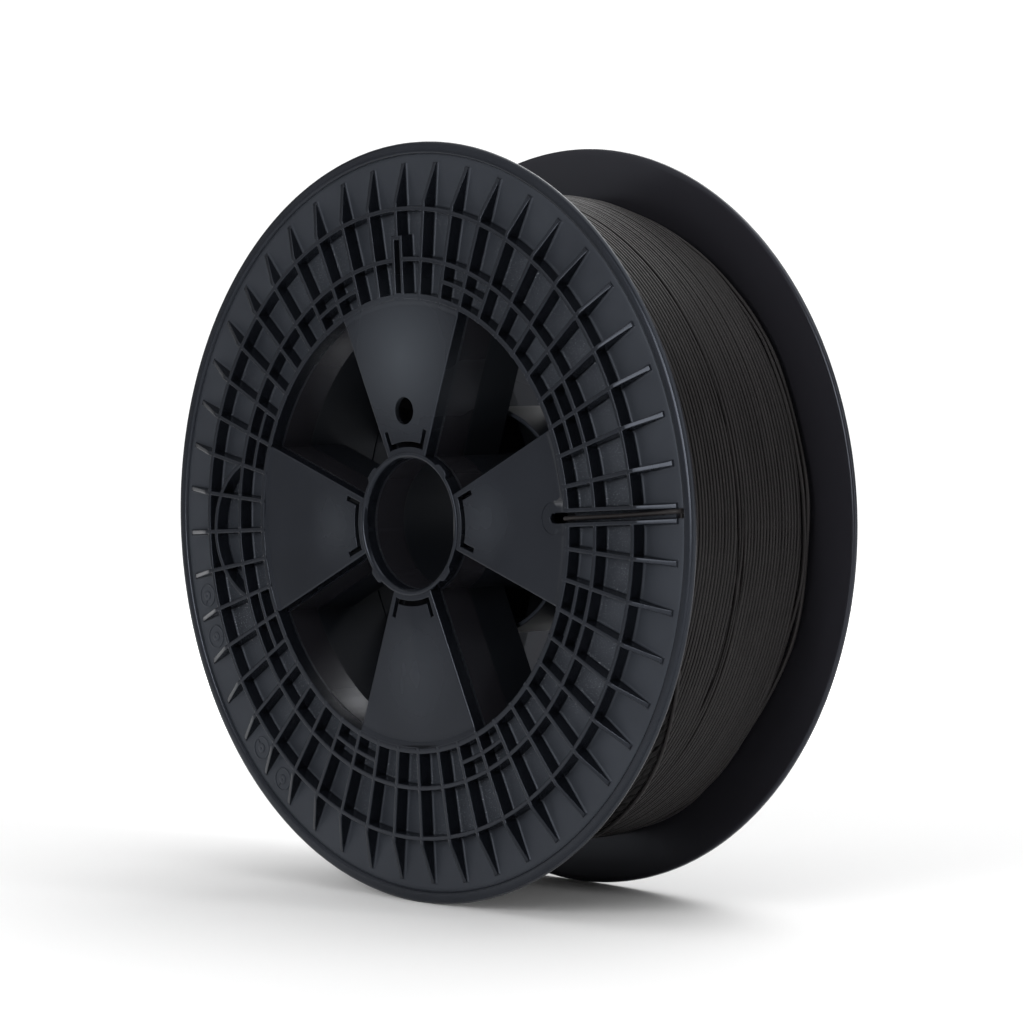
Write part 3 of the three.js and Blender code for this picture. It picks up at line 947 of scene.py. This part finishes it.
def add_camera():
    """The camera of the photograph. The yaw is from the spool's axis and the pitch is downward."""
    data = bpy.data.cameras.new("camera")
    data.sensor_width = 36
    data.lens = 137.25
    data.clip_start, data.clip_end = 0.05, 50
    camera = bpy.data.objects.new("camera", data)
    bpy.context.scene.collection.objects.link(camera)
    level = math.cos(CAMERA_PITCH)
    back = Vector((math.sin(CAMERA_YAW) * level, -math.cos(CAMERA_YAW) * level, math.sin(CAMERA_PITCH)))
    right = Vector((math.cos(CAMERA_YAW), math.sin(CAMERA_YAW), 0))
    pose = Matrix((right, back.cross(right), back)).transposed().to_4x4()
    pose.translation = Vector(CAMERA_PLACE)
    camera.matrix_world = unrolled @ pose
    bpy.context.scene.camera = camera


def paper_material():
    """White paper that fades into white light behind the spool, as seen from the camera."""
    material, nodes = new_material("paper")
    nodes.set(Base_Color=(0.93, 0.93, 0.93, 1), Roughness=0.9, Specular_IOR_Level=0.1)
    distance = nodes.vector_math("LENGTH", nodes.place)["Value"]
    behind = nodes.vector_math("DOT_PRODUCT", nodes.place, (-0.45, 0.89, 0.0))["Value"]
    far_share = nodes.levels(distance, 0.45, 1.0, 0, 1)
    behind_share = nodes.levels(behind, 0.0, 0.4, 0, 1)
    glow = nodes.math("MULTIPLY", far_share, behind_share)
    nodes.set(Emission_Color=(1, 1, 1, 1), Emission_Strength=glow)
    return material


def add_floor():
    """A round sheet of paper under the rims."""
    turns = [2 * math.pi * i / PAPER_SIDES for i in range(PAPER_SIDES)]
    edge = [(*polar(PAPER_RADIUS, turn), -RIM_RADIUS * MM) for turn in turns]
    mesh = bpy.data.meshes.new("floor")
    mesh.from_pydata(edge, [], [list(range(PAPER_SIDES))])
    mesh.materials.append(paper_material())
    made = bpy.data.objects.new("floor", mesh)
    bpy.context.scene.collection.objects.link(made)
    made.matrix_world = unrolled


def soft_light(name, location, size, power, spread=180, aim=(0, 0, 0)):
    """A rectangular soft box that faces its aim. The size is in metres and the spread in degrees."""
    data = bpy.data.lights.new(name, "AREA")
    data.shape = "RECTANGLE"
    data.size, data.size_y = size
    data.energy = power
    data.spread = math.radians(spread)
    made = bpy.data.objects.new(name, data)
    bpy.context.scene.collection.objects.link(made)
    made.location = location
    made.rotation_mode = "QUATERNION"
    made.rotation_quaternion = (Vector(aim) - Vector(location)).to_track_quat("-Z", "Y")


def add_world():
    """White light behind the spool, as seen from the camera, and a faint glow in front of it."""
    world = bpy.data.worlds.new("world")
    bpy.context.scene.world = world
    world.use_nodes = True
    nodes = Nodes(world.node_tree, "Generated")
    strengths = []
    for direction, low, high, bright in (
        ((-0.72, 0.69, 0.0), 0.55, 0.88, 1.15),
        ((-0.45, -0.85, 0.28), 0.7, 1.0, 0.75),
    ):
        toward = nodes.vector_math("DOT_PRODUCT", nodes.place, direction)["Value"]
        strengths.append(nodes.levels(toward, low, high, 0.02, bright))
    background = world.node_tree.nodes["Background"]
    background.inputs["Color"].default_value = (1, 1, 1, 1)
    nodes.link(nodes.math("MAXIMUM", *strengths), background.inputs["Strength"])


add_camera()
add_floor()
soft_light("overhead", (0.0, 0.0, 1.4), (2.8, 2.8), 11, 150)
soft_light("right", (0.75, 0.35, 1.5), (1.8, 1.8), 8, 120, (0.1, 0, 0.12))
soft_light("back", (-0.4, 1.15, 1.2), (1.3, 0.7), 9)
soft_light("front", (0.6, -2.0, 0.55), (0.25, 1.2), 10)
soft_light("front_left", (0.1, -1.0, 0.2), (0.5, 0.5), 2.3, 120)
soft_light("edge", (1.6, 0.35, 0.35), (0.12, 1.2), 7)
add_world()

bpy.context.scene.view_settings.view_transform = "Standard"
bpy.context.scene.view_settings.look = "None"
